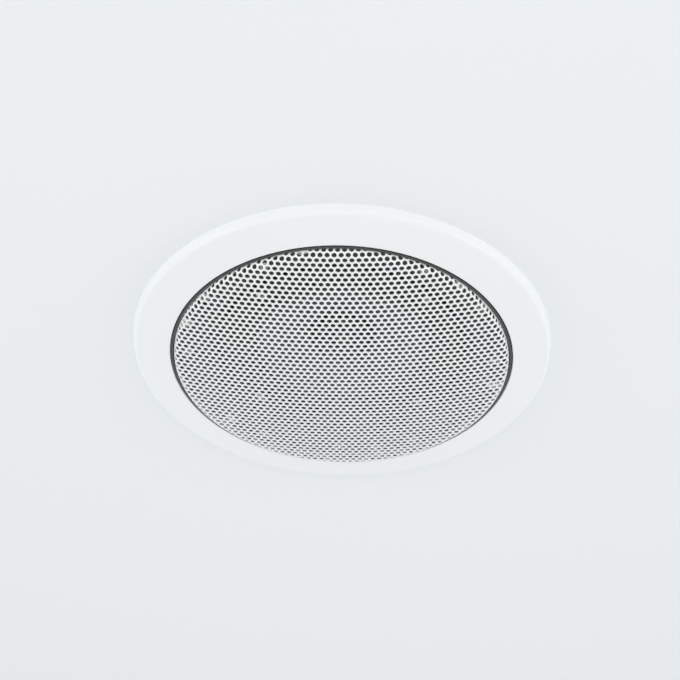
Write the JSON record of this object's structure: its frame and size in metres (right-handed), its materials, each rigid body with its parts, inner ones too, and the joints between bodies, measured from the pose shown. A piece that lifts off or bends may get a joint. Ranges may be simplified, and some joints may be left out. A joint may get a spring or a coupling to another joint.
{
  "type": "in ceiling speaker",
  "caption": "Round in-ceiling loudspeaker: white bezel and domed perforated grille over a single cone driver, with swing-out ceiling clamps and a push terminal behind.",
  "frame": {"origin": "on the speaker's axis, at the underside of the ceiling board where the back of the flange lies", "axes": "+Z along the axis, up into the ceiling; the grille faces -Z and the push terminal is on the -Y side"},
  "size_m": [0.248, 0.248, 0.0818],
  "materials": {
    "white_abs": "fine satin moulding",
    "white_powder": "satin powder coat",
    "black_abs": "fine matt moulding",
    "black_steel": "satin black paint",
    "zinc_steel": "zinc plated",
    "nickel": "nickel plated",
    "ferrite": "sintered, matt",
    "cork": "closed foam, matt",
    "rubber": "matt",
    "cone_grey": "mineral filled, satin",
    "cap_black": "smooth, glossy",
    "spider_cloth": "resin-dipped weave",
    "former_foil": "bare foil",
    "copper": "enamelled wire",
    "tag_board": "pressed board",
    "tinned_brass": "tinned",
    "tinsel": "braided",
    "red_plastic": "smooth",
    "wire_red": "extruded sleeve",
    "wire_black": "extruded sleeve",
    "grey_nylon": "satin moulding"
  },
  "bodies": {
    "housing": {"bezel": "white_abs", "baffle": "black_abs", "baffle_screws": "zinc_steel", "grille": "white_powder", "grille_magnets": "nickel", "basket": "black_steel", "driver_gasket": "cork", "driver_screws": "zinc_steel", "surround": "rubber", "spider": "spider_cloth", "top_plate": "zinc_steel", "ring_magnet": "ferrite", "yoke": "zinc_steel", "tag_strip": "tag_board", "solder_tags": "tinned_brass", "tinsel_leads": "tinsel", "terminal_block": "black_abs", "terminal_contacts": "tinned_brass", "terminal_screws": "zinc_steel", "lead_black": "wire_black", "lead_red": "wire_red"},
    "moving_cone": {"cone": "cone_grey", "dust_cap": "cap_black", "coil_former": "former_foil", "voice_coil": "copper"},
    "lever_black": {"terminal_lever_black": "black_abs"},
    "lever_red": {"terminal_lever_red": "red_plastic"},
    "clamp_screw_1": {"clamp_screw_1": "zinc_steel", "clamp_clip_1": "zinc_steel"},
    "clamp_arm_1": {"clamp_arm_1": "grey_nylon", "clamp_nut_1": "zinc_steel"},
    "clamp_screw_2": {"clamp_screw_2": "zinc_steel", "clamp_clip_2": "zinc_steel"},
    "clamp_arm_2": {"clamp_arm_2": "grey_nylon", "clamp_nut_2": "zinc_steel"},
    "clamp_screw_3": {"clamp_screw_3": "zinc_steel", "clamp_clip_3": "zinc_steel"},
    "clamp_arm_3": {"clamp_arm_3": "grey_nylon", "clamp_nut_3": "zinc_steel"}
  },
  "joints": [
    {"name": "cone_travel", "type": "slide", "parent": "housing", "child": "moving_cone", "axis": [0, 0, 1], "range_m": [-0.004, 0.004], "stiffness_N_per_m": 1200, "deforming": ["surround", "spider", "tinsel_leads"]},
    {"name": "lever_press_black", "type": "slide", "parent": "housing", "child": "lever_black", "axis": [0, 0, -1], "range_m": [0, 0.0025], "stiffness_N_per_m": 300},
    {"name": "lever_press_red", "type": "slide", "parent": "housing", "child": "lever_red", "axis": [0, 0, -1], "range_m": [0, 0.0025], "stiffness_N_per_m": 300},
    {"name": "clamp_swing_1", "type": "hinge", "parent": "housing", "child": "clamp_screw_1", "pos_m": [0, 0.093, 0], "axis": [0, 0, -1], "range_deg": [0, 90]},
    {"name": "clamp_draw_1", "type": "slide", "parent": "clamp_screw_1", "child": "clamp_arm_1", "axis": [0, 0, 1], "range_m": [-0.0065, 0.0175]},
    {"name": "clamp_swing_2", "type": "hinge", "parent": "housing", "child": "clamp_screw_2", "pos_m": [-0.08054, -0.0465, 0], "axis": [0, 0, -1], "range_deg": [0, 90]},
    {"name": "clamp_draw_2", "type": "slide", "parent": "clamp_screw_2", "child": "clamp_arm_2", "axis": [0, 0, 1], "range_m": [-0.0065, 0.0175]},
    {"name": "clamp_swing_3", "type": "hinge", "parent": "housing", "child": "clamp_screw_3", "pos_m": [0.08054, -0.0465, 0], "axis": [0, 0, -1], "range_deg": [0, 90]},
    {"name": "clamp_draw_3", "type": "slide", "parent": "clamp_screw_3", "child": "clamp_arm_3", "axis": [0, 0, 1], "range_m": [-0.0065, 0.0175]}
  ]
}
